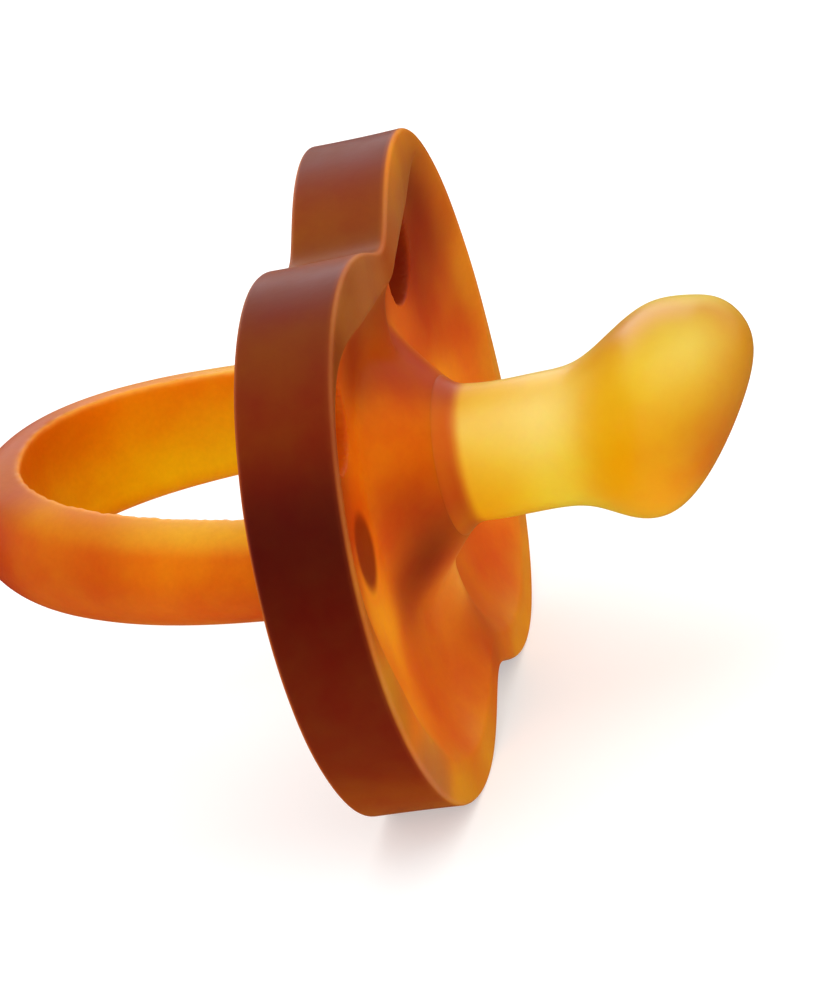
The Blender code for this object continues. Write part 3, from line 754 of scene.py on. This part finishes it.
def paint_ring(obj, marks):
    p = from_world(positions(obj))
    n = normals(obj)
    share = marks[:, 2]
    inner = wash(p, RING_INNER)
    outer = wash(p, RING_OUTER)
    top = wash(p, RING_TOP)
    half_in = 0.5 * (1 - smoothstep(0.30, 0.46, share)) * 2
    half_in = np.clip(half_in, 0, 1)
    wrap = smoothstep(0.975, 0.999, share)
    half_in = np.maximum(half_in, wrap)
    colour = inner * half_in[:, None] + outer * (1 - half_in)[:, None]
    # painted light: the faces that look up take the paler top colours
    up = smoothstep(0.62, 0.97, n[:, 2])
    colour = colour + (top - colour) * (0.85 * up)[:, None]
    # painted light: the faces that look down are lightened too
    down = smoothstep(0.6, 0.95, -n[:, 2])
    colour = colour + (np.array([236, 158, 70]) - colour) * (0.55 * down)[:, None]
    # painted highlight along the upper inner arris
    arris = np.exp(-((marks[:, 0] / 0.28) ** 2))
    colour = colour + (np.array([246, 186, 110]) - colour) * (0.5 * arris)[:, None]
    # painted shade: darker where the arms run into the shield
    root = 1 - smoothstep(7.2, 9.6, p[:, 1])
    colour = colour + (np.array([168, 66, 6]) - colour) * (0.6 * root)[:, None]
    set_colour_with_painted_light(obj, colour)


# ------------------------------------------------------------------ plug


def build_plug():
    n = 160
    t = np.linspace(0, 2 * math.pi, n, endpoint=False)
    profile = [(3.0, 5.3), (4.9, 5.5), (5.15, 5.6), (5.2, 5.8), (5.2, 6.6)]
    for a in np.linspace(0, math.pi / 2, 7)[1:]:
        profile.append((5.2 - 0.28 * (1 - math.cos(a)), 6.6 + 0.28 * math.sin(a)))
    for r in np.linspace(4.85, 1.15, 26):
        crown = 0.10 * (1 - (r / 4.92) ** 2)
        step = -0.07 * math.exp(-(((r - 3.55) / 0.16) ** 2))
        profile.append((r, 6.88 + crown + step))
    for a in np.linspace(0, math.pi / 2, 7)[1:]:
        profile.append((1.1 - 0.45 * math.sin(a), 6.97 - 0.45 * (1 - math.cos(a))))
    profile += [(0.62, 6.2), (0.6, 5.4)]
    loops = [np.stack([r * np.sin(t), np.full(n, d), AXIS_RISE + r * np.cos(t)], -1) for r, d in profile]
    return loops_to_object("plug_skin", loops, cap_start=(0, 5.3, AXIS_RISE), cap_end=(0, 5.4, AXIS_RISE))


def paint_plug(obj):
    p = from_world(positions(obj))
    r = np.hypot(p[:, 0], p[:, 2] - AXIS_RISE)
    base = np.array([176.0, 74.0, 14.0])[None, :].repeat(len(p), 0)
    rim = smoothstep(3.6, 5.1, r)
    base = base + (np.array([206, 108, 30]) - base) * (0.6 * rim)[:, None]
    # painted shade in the small hole in the middle
    hole = 1 - smoothstep(0.7, 1.3, r)
    base = base + (np.array([90, 26, 2]) - base) * (0.8 * hole)[:, None]
    set_colour_with_painted_light(obj, base)


# ------------------------------------------------------------------ assembly of the pieces

shield = build_shield()
lumps(shield, 6.0, 0.03, seed=0.4)
paint_shield(shield)
teat = build_teat()
lumps(teat, 6.0, 0.03, seed=0.4)
paint_teat(teat)
ring, ring_marks = build_ring()
paint_ring(ring, ring_marks)
plug = build_plug()
paint_plug(plug)

shield.data.materials.append(rubber("amber_rubber", 0.42, 0.14, 0.5, 0.8, 0.04, 0.02, bump=0.3))
teat.data.materials.append(rubber("honey_rubber", 0.34, 0.30, 0.5, 0.9, 0.012, 0.008, coat=0.03, bump=0.1))
ring.data.materials.append(rubber("orange_rubber", 0.40, 0.15, 0.5, 0.9, 0.035, 0.03, bump=0.4))
plug.data.materials.append(rubber("plug_rubber", 0.45, 0.35, 0.5, 0.8, 0.05, 0.03, bump=0.35))

# the CAD solids keep a finished material of their own too
for node, source in (("shield", shield), ("teat", teat), ("ring_handle", ring), ("teat_plug", plug)):
    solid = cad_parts[node]
    solid.data.materials.clear()
    solid.data.materials.append(source.data.materials[0])

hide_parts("shield")
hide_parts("teat")
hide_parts("ring_handle")
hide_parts("teat_plug")
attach(shield, "shield")
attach(plug, "shield")
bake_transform(teat)
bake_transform(ring)

# ------------------------------------------------------------------ floor, light, camera

floor_mesh = bpy.data.meshes.new("floor")
floor_mesh.from_pydata([(-3, -3, 0), (3, -3, 0), (3, 3, 0), (-3, 3, 0)], [], [(0, 1, 2, 3)])
floor = bpy.data.objects.new("floor", floor_mesh)
bpy.context.scene.collection.objects.link(floor)
floor_mat = bpy.data.materials.new("floor_white")
floor_mat.use_nodes = True
fb = floor_mat.node_tree.nodes["Principled BSDF"]
fb.inputs["Roughness"].default_value = 0.95
fb.inputs["Specular IOR Level"].default_value = 0.0
fb.inputs["Emission Color"].default_value = (1.0, 1.0, 0.995, 1.0)
fb.inputs["Emission Strength"].default_value = 0.42
fn = floor_mat.node_tree.nodes.new("ShaderNodeTexNoise")
fn.inputs["Scale"].default_value = 6.0
fr = floor_mat.node_tree.nodes.new("ShaderNodeValToRGB")
fr.color_ramp.elements[0].color = (0.64, 0.64, 0.635, 1)
fr.color_ramp.elements[1].color = (0.66, 0.66, 0.655, 1)
floor_mat.node_tree.links.new(fn.outputs["Fac"], fr.inputs["Fac"])
floor_mat.node_tree.links.new(fr.outputs["Color"], fb.inputs["Base Color"])
floor_mesh.materials.append(floor_mat)
floor.location.z = -0.0001
floor.visible_glossy = False

world = bpy.data.worlds.new("studio")
bpy.context.scene.world = world
world.use_nodes = True
wt = world.node_tree
background = wt.nodes["Background"]
where = wt.nodes.new("ShaderNodeTexCoord")
split = wt.nodes.new("ShaderNodeSeparateXYZ")
wt.links.new(where.outputs["Generated"], split.inputs[0])
height = wt.nodes.new("ShaderNodeMapRange")
height.inputs["From Min"].default_value = -0.02
height.inputs["From Max"].default_value = 0.16
height.inputs["To Min"].default_value = 0.05
height.inputs["To Max"].default_value = 1.0
wt.links.new(split.outputs["Z"], height.inputs["Value"])
wt.links.new(height.outputs["Result"], background.inputs["Strength"])
background.inputs["Color"].default_value = (1.0, 0.995, 0.985, 1.0)


def softbox(name, at, look, size, power):
    data = bpy.data.lights.new(name, "AREA")
    data.shape = "RECTANGLE"
    data.size, data.size_y = size
    data.energy = power
    obj = bpy.data.objects.new(name, data)
    bpy.context.scene.collection.objects.link(obj)
    obj.location = at
    obj.rotation_mode = "QUATERNION"
    obj.rotation_quaternion = (Vector(look) - Vector(at)).to_track_quat("-Z", "Y")
    return obj


softbox("top_softbox", (-0.10, -0.05, 0.60), (0, 0, 0.02), (0.5, 0.5), 1.2)
softbox("rear_softbox", (0.55, 0.25, 0.35), (0, 0, 0.02), (0.5, 0.5), 1.2)

AZIMUTH, ELEVATION, ROLL = -1.29819705, 0.43219787, -0.274984886
CAMERA_AT = (-0.391064, -0.111932, 0.204014)


def camera_axes(azimuth, elevation, roll):
    back = Vector((math.sin(azimuth) * math.cos(elevation), -math.cos(azimuth) * math.cos(elevation), math.sin(elevation)))
    right = Vector((math.cos(azimuth), math.sin(azimuth), 0.0))
    up = right.cross(-back)
    c, s = math.cos(roll), math.sin(roll)
    return c * right + s * up, -s * right + c * up, back


right, up, back = camera_axes(AZIMUTH, ELEVATION, ROLL)
camera_data = bpy.data.cameras.new("camera")
camera_data.sensor_fit = "HORIZONTAL"
camera_data.sensor_width = 36.0
camera_data.lens = 6504.0 / 833.0 * 36.0
camera_data.clip_start = 0.01
camera_data.clip_end = 20.0
camera = bpy.data.objects.new("camera", camera_data)
bpy.context.scene.collection.objects.link(camera)
camera.matrix_world = Matrix(
    (
        (right.x, up.x, back.x, CAMERA_AT[0]),
        (right.y, up.y, back.y, CAMERA_AT[1]),
        (right.z, up.z, back.z, CAMERA_AT[2]),
        (0, 0, 0, 1),
    )
)
bpy.context.scene.camera = camera
bpy.context.scene.view_settings.view_transform = "Standard"
bpy.context.scene.view_settings.look = "None"

bpy.context.view_layer.update()
